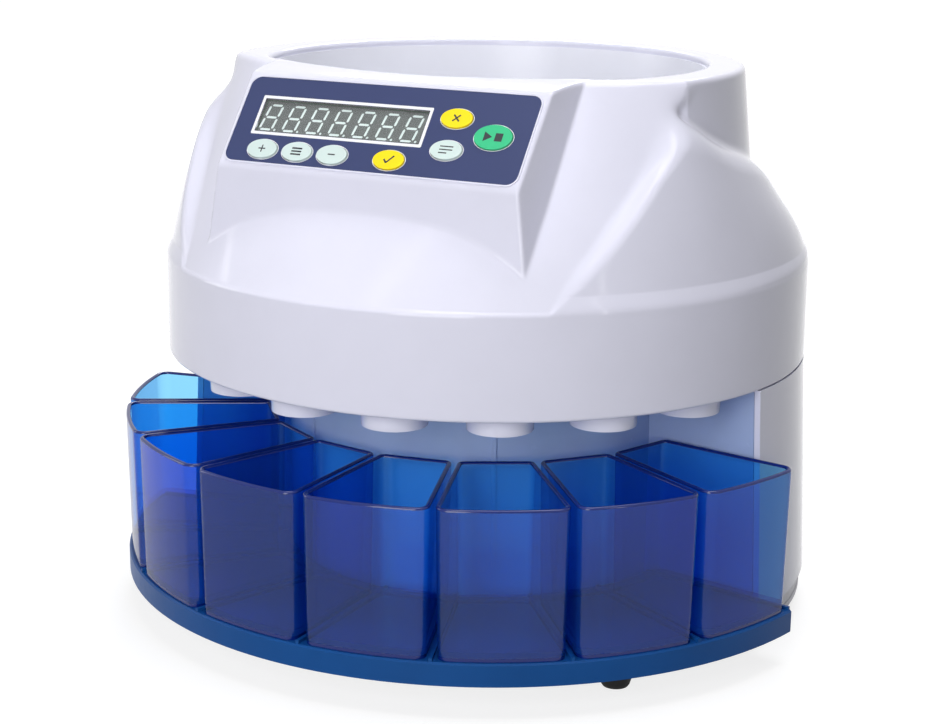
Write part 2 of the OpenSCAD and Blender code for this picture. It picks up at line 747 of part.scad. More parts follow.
// Board behind the panel with a switch under each key
module keypad_board() color(color_board) on_panel() {
    translate([0, 0, -board_gap - board_t]) linear_extrude(board_t)
        square([panel_w - 8, panel_h - 7], center = true);
    for (i = [0:len(key_places) - 1]) translate([key_places[i][0], key_places[i][1], -board_gap])
        linear_extrude(switch_h) square([6, 6], center = true);
}

// Deck that closes the cover and carries the tubes, the spindle and the motor
module chute_deck() color(color_white) on_axis() difference() {
    translate([0, 0, deck_z]) cylinder(r = skirt_r - cover_wall - 2 * fit_gap, h = deck_t, $fn = 180);
    for (i = [1:cup_count]) at(cup_angle(i)) translate([0, -tube_ring_r, deck_z - eps])
        cylinder(d = tube_d + 2 * fit_gap + 1, h = deck_t + 1, $fn = 64);
    translate([0, 0, deck_z - eps]) cylinder(d = bearing_d + fit_gap, h = deck_t + 1, $fn = 64);
    translate([0, motor_y, deck_z - eps]) cylinder(d = 2 * shaft_d + fit_gap, h = deck_t + 1, $fn = 48);
    bearing_screw_places() translate([0, 0, deck_z - 1]) screw_hole();
    motor_screw_places() translate([0, 0, deck_z]) through_hole(deck_t);
    cover_screw_places() translate([0, 0, deck_z]) through_hole(deck_t);
}

module bearing_screw_places() for (a = [45:90:315]) at(a) translate([0, -bearing_screw_r, 0]) children();
module motor_screw_places() for (side = [-1, 1]) translate([side * motor_screw_x, motor_y, 0]) children();

// Tapered tube that drops one coin size into its cup
module coin_tube(i) color(color_white) on_axis() at(cup_angle(i)) translate([0, -tube_ring_r, 0])
    difference() {
        union() {
            translate([0, 0, deck_z - tube_drop])
                cylinder(d1 = tube_d, d2 = tube_d + 1, h = tube_drop + deck_t, $fn = 64);
            translate([0, 0, deck_top]) cylinder(d = tube_d + 2 * tube_flange, h = 2.5, $fn = 64);
            translate([0, 0, deck_top]) cylinder(d = tube_d + 1, h = sort_h, $fn = 64);
        }
        translate([0, 0, deck_z - tube_drop - 1])
            cylinder(d = tube_bore_d, h = tube_drop + deck_t + sort_h + 2, $fn = 64);
    }

// Plate with one hole for each coin size
module sorting_plate() color(color_steel) on_axis() difference() {
    translate([0, 0, sort_z]) cylinder(r = skirt_r - cover_wall - 2, h = sort_t, $fn = 180);
    for (i = [1:cup_count]) at(cup_angle(i)) translate([0, -tube_ring_r, sort_z - eps])
        cylinder(d = coin_d[i - 1] + coin_play, h = sort_t + 1, $fn = 64);
    translate([0, 0, sort_z - eps]) cylinder(d = spindle_d + 12, h = sort_t + 1, $fn = 64);
}

module sorting_posts() color(color_steel) on_axis() for (a = [45, 135, 225, 315]) at(a)
    translate([0, -post_r, deck_top]) cylinder(d = 8, h = sort_h, $fn = 6);

module coin_sensors() color(color_dark) on_axis() for (i = [1:cup_count]) at(cup_angle(i))
    translate([-4, -(tube_ring_r - tube_d / 2 - 3.5), sort_z - 9]) cube([8, 6, 9]);

// Wheel whose fingers push the coins round the track
module finger_wheel() color([0.85, 0.3, 0.2]) on_axis() translate([0, 0, wheel_z]) difference() {
    union() {
        cylinder(r = wheel_r, h = wheel_t, $fn = 180);
        for (k = [0:9]) at(k * 36 + 9) translate([-finger_w / 2, -finger_r, 0])
            cube([finger_w, finger_r - wheel_r + finger_root, wheel_t]);
    }
    translate([0, 0, -eps]) cylinder(d = spindle_d + 2 * bearing_play, h = wheel_t + 1, $fn = 48);
    for (k = [0:4]) at(k * 72) translate([0, -wheel_hole_ring_r, -eps])
        cylinder(r = wheel_hole_r, h = wheel_t + 1, $fn = 64);
}

// Disc at the bottom of the hopper
module feed_disc() color(color_steel) on_axis() difference() {
    union() {
        translate([0, 0, disc_z]) cylinder(r = disc_r, h = disc_t, $fn = 180);
        translate([0, 0, wheel_z + wheel_t]) cylinder(r = 16, h = disc_z - wheel_z - wheel_t + 1, $fn = 64);
        for (k = [0:5]) at(k * 60) translate([-2, -disc_r + 6, disc_z + disc_t - 1])
            cube([4, disc_r - 36, disc_rib_h + 1]);
    }
    translate([0, 0, wheel_z]) cylinder(d = spindle_d + 2 * bearing_play, h = bowl_z - wheel_z, $fn = 48);
}

module hub_cap() color(color_dark) on_axis() translate([0, 0, disc_z + disc_t]) rotate_extrude($fn = 64)
    polygon(concat([[0, 0], [20, 0], [20, 3]], [for (a = [10:10:90]) [20 * cos(a), 3 + 9 * sin(a)]]));

module spindle() color(color_steel) on_axis() {
    low = deck_z - bearing_tube_l - 2;
    translate([0, 0, low]) cylinder(d = spindle_d, h = disc_z + disc_t - low, $fn = 48);
    translate([0, 0, low - 2]) cylinder(d = spindle_d + 5, h = 4 - slide_gap, $fn = 48);
}

module spindle_bearings() color(color_steel) on_axis() for (z = [deck_z - bearing_tube_l, deck_z - bearing_t])
    translate([0, 0, z]) difference() {
        cylinder(d = bearing_d, h = bearing_t, $fn = 64);
        translate([0, 0, -eps]) cylinder(d = spindle_d + 2 * bearing_play, h = bearing_t + 1, $fn = 64);
    }

module bearing_housing() color(color_grey) on_axis() translate([0, 0, deck_z - bearing_tube_l]) difference() {
    union() {
        cylinder(d = bearing_d + 8, h = bearing_tube_l, $fn = 64);
        translate([0, 0, bearing_tube_l - bearing_flange_t])
            cylinder(r = bearing_screw_r + 5.5, h = bearing_flange_t, $fn = 64);
    }
    translate([0, 0, -eps]) cylinder(d = bearing_d - 4, h = bearing_tube_l + 1, $fn = 64);
    for (z = [-1, bearing_tube_l - bearing_t]) translate([0, 0, z])
        cylinder(d = bearing_d + 2 * bearing_play, h = bearing_t + 1, $fn = 64);
    bearing_screw_places() translate([0, 0, bearing_tube_l - bearing_flange_t - 1])
        cylinder(d = screw_d + fit_gap, h = bearing_flange_t + 2, $fn = 24);
}

// Gear outline with straight sided teeth, the first one at angle a
tooth = [[-0.33, -1.25], [-0.13, 0.95], [0.13, 0.95], [0.33, -1.25]];
function gear_points(n, r, a) = [for (i = [0:n - 1], c = tooth)
    polar(r + c[1] * gear_module, a + (i + c[0]) * 360 / n)];

module drive_gear() color([0.9, 0.88, 0.8]) on_axis() translate([0, 0, gear_z]) difference() {
    union() {
        linear_extrude(gear_t) polygon(gear_points(gear_teeth, gear_r, 180));
        translate([0, 0, -3.6]) cylinder(r = 12, h = gear_t + 6, $fn = 48);
    }
    translate([0, 0, -5]) cylinder(d = spindle_d + 2 * bearing_play, h = gear_t + 12, $fn = 48);
    for (k = [0:5]) at(k * 60) translate([0, -gear_r * 0.58, -1])
        cylinder(r = gear_r * 0.2, h = gear_t + 2, $fn = 48);
}

module motor_pinion() color(color_steel) on_axis() translate([0, motor_y, 0]) {
    translate([0, 0, gear_z]) linear_extrude(gear_t)
        polygon(gear_points(pinion_teeth, pinion_r, 180 / pinion_teeth));
    translate([0, 0, deck_top + slide_gap])
        cylinder(d = shaft_d, h = gear_z + gear_t + 2 - deck_top, $fn = 32);
}

module gear_motor() color(color_steel) on_axis() difference() {
    translate([0, motor_y, 0]) {
        translate([0, 0, deck_z - gearbox_h]) cylinder(d = motor_d + 6, h = gearbox_h, $fn = 64);
        translate([0, 0, deck_z - gearbox_h - motor_l]) cylinder(d = motor_d, h = motor_l + 1, $fn = 64);
        translate([0, 0, deck_z - gearbox_h - motor_l - 3]) cylinder(d = 2 * shaft_d, h = 4, $fn = 48);
        translate([0, 0, deck_z - 1]) cylinder(d = 2 * shaft_d, h = deck_t + 1, $fn = 48);
    }
    motor_screw_places() translate([0, 0, deck_top - screw_l - 1]) screw_hole();
}

// Boards and transformer on the base plate
module main_board() color(color_board) on_axis() translate(concat(main_board_place, base_top)) {
    for (x = [board_leg_inset, main_board_size[0] - board_leg_inset],
         y = [board_leg_inset, main_board_size[1] - board_leg_inset])
        translate([x, y, 0]) cylinder(d = board_leg_d, h = board_leg_h, $fn = 24);
    translate([0, 0, board_leg_h]) cube(concat(main_board_size, board_t));
    for (part = [[10, 14, 20, 20, 3], [44, 12, 12, 30, 9], [62, 14, 8, 8, 14], [16, 42, 24, 8, 8]])
        translate([part[0], part[1], board_leg_h + board_t]) cube([part[2], part[3], part[4]]);
}

module transformer() color([0.35, 0.34, 0.36]) on_axis() translate(concat(transformer_place, base_top)) {
    cube(transformer_foot);
    middle = (transformer_foot + [0, 0, transformer_foot[2] + transformer_core[2]]) / 2;
    translate(middle) for (size = [transformer_core, transformer_coil]) cube(size, center = true);
}

// Screw with its head below, that goes up from height z
module screw_up(z) translate([0, 0, z]) {
    translate([0, 0, -screw_head_h]) cylinder(d = 2 * screw_d, h = screw_head_h, $fn = 24);
    translate([0, 0, -screw_head_h / 2]) cylinder(d = screw_d, h = screw_l + screw_head_h / 2, $fn = 24);
}

module deck_screws() color(color_steel) on_axis() {
    bearing_screw_places() screw_up(deck_z - bearing_flange_t);
    motor_screw_places() translate([0, 0, deck_top]) rotate([180, 0, 0]) screw_up(0);
}

module cover_screws() color(color_steel) on_axis() cover_screw_places() screw_up(deck_z);

module base_screws() color(color_steel) on_axis() base_screw_places() screw_up(foot_h);

base_plate();
rubber_feet();
coin_tray();
for (i = [1:cup_count]) coin_cup(i);
column_cover();
rear_housing();
top_cover();
hopper_bowl();
control_panel();
display_window();
display_module();
keypad_board();
for (i = [0:len(key_names) - 1]) key_cap(i);
chute_deck();
for (i = [1:cup_count]) coin_tube(i);
sorting_plate();
sorting_posts();
coin_sensors();
finger_wheel();
feed_disc();
hub_cap();
spindle();
spindle_bearings();
bearing_housing();
drive_gear();
motor_pinion();
gear_motor();
main_board();
transformer();
power_inlet();
inlet_pins();
switch_frame();
power_rocker();
printer_socket();
deck_screws();
cover_screws();
base_screws();
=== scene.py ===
"""Looks of the counter-top coin sorter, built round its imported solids."""
import json
import math

import bmesh
import bpy
import numpy as np
from mathutils import Matrix, Vector


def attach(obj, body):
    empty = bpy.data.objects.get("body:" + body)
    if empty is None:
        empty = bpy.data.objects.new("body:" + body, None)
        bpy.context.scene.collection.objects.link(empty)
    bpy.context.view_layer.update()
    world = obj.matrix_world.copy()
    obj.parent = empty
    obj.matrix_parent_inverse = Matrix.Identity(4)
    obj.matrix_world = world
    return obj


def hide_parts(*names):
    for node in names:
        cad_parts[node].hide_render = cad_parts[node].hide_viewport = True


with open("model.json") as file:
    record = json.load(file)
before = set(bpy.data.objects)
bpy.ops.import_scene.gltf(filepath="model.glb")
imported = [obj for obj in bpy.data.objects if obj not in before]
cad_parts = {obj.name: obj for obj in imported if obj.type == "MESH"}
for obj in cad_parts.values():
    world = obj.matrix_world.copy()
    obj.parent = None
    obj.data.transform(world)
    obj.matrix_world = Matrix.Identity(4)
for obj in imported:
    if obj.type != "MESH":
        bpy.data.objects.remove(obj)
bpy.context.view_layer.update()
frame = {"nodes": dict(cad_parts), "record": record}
nodes = frame["nodes"]
slots = {part["node"]: part["material_slot"] for part in frame["record"]["subparts"]}
scene = bpy.context.scene

# Sizes of the part in millimetres, measured from the upright axis
MM_PER_M = 1000
AXIS_Y = 8.75
SKIRT_R = 155.5
SKIRT_LOW = 125.0
SKIRT_TOP = 170.5
SKIRT_EDGE = 1.0
SKIRT_EDGE_CUT = 0.3
SKIRT_LINING_H = 15.0
BAND_IN = 1.7
BAND_H = 12.0
COVER_WALL = 3.0
TOP = 263.0
NECK_R = 122.75
NECK_SHIFT = 4.5
NECK_FRONT = 69.0
NECK_CORNER = 40.0
NECK_BOW = 2.0
NECK_DRAFT = math.radians(6.0)
RING_R = 115.0
RING_Z = 205.3
RING_TILT = math.radians(17.2)
RING_SWELL = 7.0
SWELL_FORWARD = 0.4
SWELL_SPREAD = 0.16
SHOULDER_R = 25.0
CREASE_Y = -57.0
CREASE_Z = 241.0
CREASE_SLOPE = math.radians(44.1)
MOUTH_R = 104.0
MOUTH_SHIFT = -1.7
MOUTH_FRONT = 76.0
MOUTH_FRONT_R = 200.0
MOUTH_LIP = 2.2
RIM_SETBACK = 0.6
RIM_TUCK = 1.2
RIM_TURNS = (25, 50, 75, 90)

# Console and panel
PANEL_Y = -105.6
PANEL_Z = 240.7
PANEL_TILT = math.radians(52.2)
PANEL_W = 146.5
PANEL_H = 43.8
PANEL_BORDER = 2.6
PANEL_PROUD = 0.2
PANEL_LAP = 2.0
PANEL_DEPTH = 3.0
CONSOLE_FOOT_Y = -123.0
CONSOLE_FOOT_Z = 172.5
CONSOLE_BACK_Y = -55.0
CONSOLE_SINK = 4.0
CONSOLE_CORNER = (76.2, -90.4, 259.7)
CONSOLE_FLARE = 0.2035
CONSOLE_LEAN = 0.139
CONSOLE_SIDE_GRADE = math.hypot(1, CONSOLE_FLARE, CONSOLE_LEAN)
LID_SLOPE = 0.2
LID_FRONT_Y = -90.6

# Blends between the faces of the cover, and the heights over which some of them grow
FRONT_BLEND = 6.0
FRONT_BLEND_H = 40.0
BAND_BLEND = 8.0
NECK_BLEND = 3.0
RIM_BLEND = 3.0
CREASE_BLEND = 2.2
CREASE_BLEND_H = 12.0
CREASE_TOP_BLEND = 5.0
CREASE_TOP_START = TOP - 40.0
CREASE_TOP_H = 20.0
SKIRT_BLEND_H = 2.0
CONSOLE_BLEND = 1.2
LID_BLEND = 1.5
CONSOLE_FOOT_BLEND = 1.0
MOUTH_BLEND = 9.0

# Sampling of the cover: arcs as start, end and step in degrees from the front, then rays from the heart
FINE_ARC = (-66, 108, 0.29)
COARSE_ARC = (108, 294, 0.75)
SKIN_ROWS = 340
HEART_Z = 150.0
NEAREST = 60.0
FARTHEST = 240.0
HALVINGS = 18
FLANK_POINTS = 12
NECK_POINTS = 120
NORMAL_COUNT = 73

# Coin cups
CUP_COUNT = 8
CUP_PITCH = math.radians(19.85)
CUP_FRONT = 177.1
CUP_BACK = 105.3
CUP_GAP = 2.4
CUP_CORNER = 6.0
CUP_BACK_CORNER = 3.6
CUP_LEAST_CORNER = 0.5
CUP_DRAFT = math.radians(1.0)
CUP_LOW = 25.7
CUP_H = 67.9
CUP_WALL = 2.2
CUP_FLOOR_H = 4.4
CUP_FLOOR_GAP = 0.05
CUP_FOOT_BAND = 1.6
CUP_FRONT_STEPS = 8
CUP_CORNER_POINTS = 14
CUP_BACK_POINTS = 9
CUP_RIM_LOOPS = 13
CUP_SHARP_ANGLE = math.radians(35)

# Display and keys, from the middle of the panel: across, up the slope, width and height
DISPLAY_U = -20.4
DISPLAY_V = 2.4
DISPLAY_W = 84.4
DISPLAY_H = 17.0
WINDOW_T = 2.4
WINDOW_GAP = 0.2
DIGIT_COUNT = 7
DIGIT_PITCH = 12.05
DIGIT_W = 6.4
DIGIT_H = 12.6
DIGIT_LEAN = math.radians(9)
FIRST_DIGIT_U = DISPLAY_U - 41.2
FIRST_DIGIT_V = DISPLAY_V - 6.6
SEGMENT_W = 1.05
POINT_D = 1.1
POINT_OUT = 1.7
POINT_SIDES = 16
KEY_PROUD = 0.9
KEY_SIZE = (15.2, 9.4)
START_SIZE = (18.0, 12.0)
KEY_ROW_V = -15.2
KEYS = {
    "plus_key": (-54.6, KEY_ROW_V, *KEY_SIZE),
    "batch_key": (-36.5, KEY_ROW_V, *KEY_SIZE),
    "minus_key": (-18.4, KEY_ROW_V, *KEY_SIZE),
    "set_key": (10.3, KEY_ROW_V, *KEY_SIZE),
    "clear_key": (36.1, 7.8, *KEY_SIZE),
    "report_key": (36.1, -8.0, *KEY_SIZE),
    "start_key": (56.2, 0.0, *START_SIZE),
}

# Prints: how deep they start in the face, how far they stand out, and their inner and outer growth
PRINT_SINK = 0.02
SIGN_T = 0.03
HOOP_T = 0.06
HOOP_INNER = 0.6
HOOP_OUTER = 1.2
LINE_T = 0.08
LINE_INNER = 0.2
LINE_OUTER = 3.0
LINE_INNER_CORNER = 0.4
LINE_OUTER_CORNER = 0.6
BEZEL_SINK = 0.3
BEZEL_T = 0.25
BEZEL_INNER = 0.1
BEZEL_OUTER = 1.5
BEZEL_INNER_CORNER = 5.0
BEZEL_OUTER_CORNER = 5.7
DIGIT_SINK = 0.05
DIGIT_T = 0.08

# Blocks at the ends of the flat on the back
FLAT_END_SIZE = (6.5, 2.6, 24.0)
FLAT_END_X = 56.75
FLAT_END_Y = 144.15
FLAT_END_Z = 40.0

# Camera that was fitted to the photograph
CAMERA_AT = (0.4428, -0.8584, 0.3579)
CAMERA_HEADING = math.radians(27.378)
CAMERA_PITCH = math.radians(14.14)
CAMERA_ROLL = math.radians(0.678)
FOCAL_PIXELS = 2018.9
PHOTO_PIXELS = 950
SENSOR_W = 36


def linear(r, g, b):
    """Linear colour from 0 to 255 screen values."""
    out = []
    for c in (r / 255, g / 255, b / 255):
        out.append(c / 12.92 if c <= 0.04045 else ((c + 0.055) / 1.055) ** 2.4)
    return out


# Materials
PLASTIC_IOR = 1.49
GRAIN_DEPTH = 0.0002


def new_material(name, color):
    mat = bpy.data.materials.new(name)
    mat.use_nodes = True
    mat.diffuse_color = list(color) + [1]
    return mat


def add_node(tree, kind, **values):
    """New shader node with some inputs set, the spaces in their names written as underscores."""
    node = tree.nodes.new("ShaderNode" + kind)
    for name, value in values.items():
        node.inputs[name.replace("_", " ")].default_value = value
    return node


def shades(tree, color, tint, start, end):
    """Ramp from a slightly darker to a slightly lighter shade of a colour."""
    ramp = add_node(tree, "ValToRGB")
    ramp.color_ramp.elements[0].position = start
    ramp.color_ramp.elements[1].position = end
    ramp.color_ramp.elements[0].color = [c * (1 - tint) for c in color] + [1]
    ramp.color_ramp.elements[1].color = [min(c * (1 + tint), 1) for c in color] + [1]
    return ramp


def material(name, color, rough, spread=0.05, tint=0.03, tint_scale=40.0, bump=0.05, grain=900.0,
             metallic=0.0, transmission=0.0, specular=0.5, stretch=(1, 1, 1)):
    """Principled material with uneven colour, roughness and a fine surface grain."""
    mat = new_material(name, color)
    tree = mat.node_tree
    link = tree.links.new
    shader = tree.nodes["Principled BSDF"]
    coords = add_node(tree, "TexCoord")
    mapping = add_node(tree, "Mapping", Scale=stretch)
    link(coords.outputs["Object"], mapping.inputs["Vector"])

    def noise(scale, detail):
        node = add_node(tree, "TexNoise", Scale=scale, Detail=detail)
        link(mapping.outputs["Vector"], node.inputs["Vector"])
        return node.outputs["Fac"]

    ramp = shades(tree, color, tint, start=0.3, end=0.7)
    link(noise(tint_scale, 3), ramp.inputs["Fac"])
    link(ramp.outputs["Color"], shader.inputs["Base Color"])
    uneven = add_node(tree, "MapRange", To_Min=max(rough - spread, 0.0), To_Max=rough + spread)
    link(noise(tint_scale * 5, 2), uneven.inputs["Value"])
    link(uneven.outputs["Result"], shader.inputs["Roughness"])
    if bump:
        relief = add_node(tree, "Bump", Strength=bump, Distance=GRAIN_DEPTH)
        link(noise(grain, 2), relief.inputs["Height"])
        link(relief.outputs["Normal"], shader.inputs["Normal"])
    shader.inputs["Metallic"].default_value = metallic
    shader.inputs["Transmission Weight"].default_value = transmission
    shader.inputs["IOR"].default_value = PLASTIC_IOR
    shader.inputs["Specular IOR Level"].default_value = specular
    return mat


white = material("white_plastic", linear(222, 222, 238), 0.1, spread=0.02, tint=0.012, bump=0.01,
                 grain=260, specular=0.28)
# Lighter copy of the white plastic for the hopper's bowl: painted light on its inside
bowl_white_painted_light = material("inner_white_plastic", linear(240, 241, 250), 0.22, spread=0.03, tint=0.015,
                       bump=0.03, specular=0.25)
grey = material("base_grey", linear(190, 190, 200), 0.38, bump=0.12, grain=1400)
# Pale plastic made darker and bluer: painted shade from the cover above and painted blue reflection of the
# cups
column_painted_shade = material("column_plastic", linear(163, 180, 216), 0.25, bump=0.05, specular=0.25)
blue = material("tray_blue", linear(16, 74, 138), 0.4, spread=0.06, tint=0.06, bump=0.12, grain=1100,
                specular=0.15)
cup_edge = material("cup_edge", linear(8, 34, 112), 0.1, spread=0.03, tint=0.05, bump=0.01, grain=120,
                    specular=0.4)
rubber = material("rubber", linear(22, 22, 23), 0.75, bump=0.25, grain=1500, specular=0.3)
film = material("panel_film", linear(42, 54, 100), 0.3, spread=0.03, tint=0.02, bump=0.01, grain=600)
window = material("display_window", linear(236, 240, 240), 0.05, spread=0.02, tint=0.01, bump=0.0,
                  transmission=1.0)
dark_display = material("display_body", linear(70, 72, 72), 0.5, bump=0.1)
segment = material("digit_segment", linear(206, 215, 213), 0.4, bump=0.05)
print_white = material("printed_white", linear(240, 241, 246), 0.4, tint=0.01, bump=0.05)
ink = material("printed_ink", linear(34, 40, 46), 0.5, bump=0.05)
mint = material("key_mint", linear(208, 225, 222), 0.34, tint=0.015, bump=0.06, grain=2600)
yellow = material("key_yellow", linear(250, 222, 12), 0.34, tint=0.015, bump=0.06, grain=2600)
green = material("key_green", linear(52, 190, 132), 0.34, tint=0.015, bump=0.06, grain=2600)
black = material("black_plastic", linear(30, 30, 32), 0.45, spread=0.08, bump=0.2, grain=1600)
steel = material("steel", linear(196, 198, 202), 0.3, spread=0.08, tint=0.05, bump=0.1, metallic=1.0,
                 stretch=(1, 1, 12))
aluminium = material("aluminium", linear(150, 152, 158), 0.55, metallic=1.0, bump=0.02, grain=400)
brass = material("brass", linear(205, 172, 96), 0.28, metallic=1.0, bump=0.05)
board = material("circuit_board", linear(30, 96, 62), 0.45, tint=0.15, tint_scale=160, bump=0.1)
wheel = material("wheel_plastic", linear(186, 74, 52), 0.4, bump=0.1)
nylon = material("nylon", linear(228, 224, 208), 0.45, bump=0.08)
iron = material("transformer_iron", linear(74, 74, 80), 0.5, tint=0.1, bump=0.2, stretch=(1, 40, 1))


def sheet_glass(name, tint, edge_tint, haze, rough):
    """Clear tinted wall drawn as one sheet, deeper in colour where it is seen along its face."""
    mat = new_material(name, tint)
    tree = mat.node_tree
    link = tree.links.new
    tree.nodes.remove(tree.nodes["Principled BSDF"])
    coords = add_node(tree, "TexCoord")
    noise = add_node(tree, "TexNoise", Scale=30)
    link(coords.outputs["Object"], noise.inputs["Vector"])

    # Tint of what shows through
    ramp = shades(tree, tint, 0.03, start=0.0, end=1.0)
    link(noise.outputs["Fac"], ramp.inputs["Fac"])
    facing = add_node(tree, "LayerWeight", Blend=0.3)
    deepen = add_node(tree, "Mix")
    deepen.data_type = "RGBA"
    link(facing.outputs["Facing"], deepen.inputs["Factor"])
    link(ramp.outputs["Color"], deepen.inputs["A"])
    deepen.inputs["B"].default_value = list(edge_tint) + [1]
    clear = add_node(tree, "BsdfTransparent")
    link(deepen.outputs["Result"], clear.inputs["Color"])

    # Faint haze in the plastic
    cloud = add_node(tree, "BsdfDiffuse", Color=list(haze) + [1])
    cloudy = add_node(tree, "MixShader", Fac=0.09)
    link(clear.outputs["BSDF"], cloudy.inputs[1])
    link(cloud.outputs["BSDF"], cloudy.inputs[2])

    # Gloss that grows with the fifth power of the angle, the same on both sides of the sheet
    uneven = add_node(tree, "MapRange", To_Min=rough * 0.6, To_Max=rough * 1.4)
    link(noise.outputs["Fac"], uneven.inputs["Value"])
    shine = add_node(tree, "BsdfGlossy")
    link(uneven.outputs["Result"], shine.inputs["Roughness"])
    glance = add_node(tree, "LayerWeight", Blend=0.5)
    steep = add_node(tree, "Math")
    steep.operation = "POWER"
    steep.inputs[1].default_value = 5
    link(glance.outputs["Facing"], steep.inputs[0])
    gloss = add_node(tree, "MapRange", To_Min=0.035, To_Max=0.9)
    link(steep.outputs["Value"], gloss.inputs["Value"])
    mix = add_node(tree, "MixShader")
    link(gloss.outputs["Result"], mix.inputs["Fac"])
    link(cloudy.outputs["Shader"], mix.inputs[1])
    link(shine.outputs["BSDF"], mix.inputs[2])
    link(mix.outputs["Shader"], tree.nodes["Material Output"].inputs["Surface"])
    return mat


clear_blue = sheet_glass("clear_blue", (0.28, 0.7, 1.0), (0.02, 0.17, 0.6), (0.04, 0.22, 0.8), 0.05)


def let_lamps_through(mat, tint):
    """Lets the lamps' light pass a clear material, so that what is behind it is lit."""
    tree = mat.node_tree
    link = tree.links.new
    path = add_node(tree, "LightPath")
    clear = add_node(tree, "BsdfTransparent", Color=list(tint) + [1])
    mix = add_node(tree, "MixShader")
    link(path.outputs["Is Shadow Ray"], mix.inputs["Fac"])
    link(tree.nodes["Principled BSDF"].outputs["BSDF"], mix.inputs[1])
    link(clear.outputs["BSDF"], mix.inputs[2])
    link(mix.outputs["Shader"], tree.nodes["Material Output"].inputs["Surface"])


let_lamps_through(window, linear(245, 247, 247))

BY_SLOT = {
    "white_plastic": white, "grey_plastic": grey, "column_plastic": column_painted_shade, "blue_plastic": blue,
    "clear_blue": clear_blue, "rubber": rubber, "panel_film": film, "display_window": window,
    "display_body": dark_display, "circuit_board": board, "steel": steel, "black_plastic": black,
    "wheel_plastic": wheel, "aluminium": aluminium, "nylon": nylon, "motor_steel": steel,
    "transformer_iron": iron, "brass": brass, "key_mint": mint, "key_yellow": yellow, "key_green": green,
}


# Moulded edges and materials on the solids
SHARP_ANGLE = math.radians(40)
TUBE_BEVEL = 0.4
KEY_BEVEL = 0.3
BEVELS = {"coin_tray": 0.6, "rear_housing": 0.5, "base_plate": 0.4, "column_cover": 0.5, "hopper_bowl": 0.5,
          "control_panel": 0.1, "power_inlet": 0.4, "switch_frame": 0.4, "power_rocker": 0.4,
          "printer_socket": 0.4, "rubber_feet": 0.4, "feed_disc": 0.4}


def soften(node, width):
    """Small round along the sharp edges of a solid."""
    bevel = nodes[node].modifiers.new("edges", "BEVEL")
    bevel.width = width / MM_PER_M
    bevel.segments = 2
    bevel.limit_method = "ANGLE"
    bevel.angle_limit = SHARP_ANGLE
    bevel.use_clamp_overlap = True
    bevel.harden_normals = True


for name, slot in slots.items():
    nodes[name].data.materials.clear()
    nodes[name].data.materials.append(BY_SLOT[slot])
    if name.startswith("coin_tube"):
        soften(name, TUBE_BEVEL)
    elif name.endswith("_key"):
        soften(name, KEY_BEVEL)
    elif name in BEVELS:
        soften(name, BEVELS[name])
# The bowl takes the lighter copy of the white plastic, which is painted light
nodes["hopper_bowl"].data.materials[0] = bowl_white_painted_light


# New pieces
def add_object(name, data):
    obj = bpy.data.objects.new(name, data)
    scene.collection.objects.link(obj)
    return obj


def object_from(name, bm):
    """New object with the faces drawn in a bmesh."""
    mesh = bpy.data.meshes.new(name)
    bm.to_mesh(mesh)
    bm.free()
    return add_object(name, mesh)


def smooth_mesh(name, points, faces):
    """Smooth mesh from points in millimetres, measured from the upright axis."""
    mesh = bpy.data.meshes.new(name)
    mesh.from_pydata(((points + [0, AXIS_Y, 0]) / MM_PER_M).tolist(), [], faces)
    mesh.polygons.foreach_set("use_smooth", [True] * len(mesh.polygons))
    return mesh


def place(obj, mat, body):
    """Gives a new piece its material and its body."""
    obj.data.materials.append(mat)
    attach(obj, body)
    return obj


# Top cover as one smooth moulding
def smax(a, b, k):
    """Larger of two distances, rounded off where they are within k of each other."""
    h = np.maximum(k - np.abs(a - b), 0.0)
    return np.maximum(a, b) + h * h / (4 * k)


def smin(a, b, k):
    """Smaller of two distances, filled in where they are within k of each other."""
    return -smax(-a, -b, k)


def grown(z, height, least):
    """Share that grows from a least value at the skirt's top to 1 at a height above it."""
    return np.clip((z - SKIRT_TOP) / height, least, 1)


def neck_support(normals):
    """Reach of the neck's outline along each normal of the right half."""
    cy = NECK_FRONT - NECK_CORNER
    cx = math.sqrt((NECK_R - NECK_CORNER) ** 2 - (cy - NECK_SHIFT) ** 2)
    turn = math.atan2(cx, cy - NECK_SHIFT)
    points = []
    start = np.array([cx, -NECK_FRONT])
    end = np.array([cx + NECK_CORNER * math.sin(turn), -cy - NECK_CORNER * math.cos(turn)])
    out = np.array([end[1] - start[1], start[0] - end[0]]) / np.hypot(*(end - start))
    for a in np.linspace(0, 1, FLANK_POINTS):
        points.append(tuple(start + (end - start) * a + out * NECK_BOW * 4 * a * (1 - a)))
    for a in np.linspace(turn, math.pi, NECK_POINTS):
        points.append((NECK_R * math.sin(a), -NECK_SHIFT - NECK_R * math.cos(a)))
    return (np.array(points) @ normals).max(0)


NORMAL_ANGLES = np.radians(np.linspace(-90, 90, NORMAL_COUNT))
NORMALS = np.array([np.cos(NORMAL_ANGLES), np.sin(NORMAL_ANGLES)])
NECK_REACH = neck_support(NORMALS)


def peak(values):
    """Highest value along each row, read between the samples."""
    at = np.clip(values.argmax(1), 1, values.shape[1] - 2)
    row = np.arange(len(values))
    before = values[row, at - 1]
    here = values[row, at]
    after = values[row, at + 1]
    bend = np.minimum(before - 2 * here + after, -1e-9)
    shift = np.clip(0.5 * (before - after) / bend, -1, 1)
    return here - 0.25 * (before - after) * shift


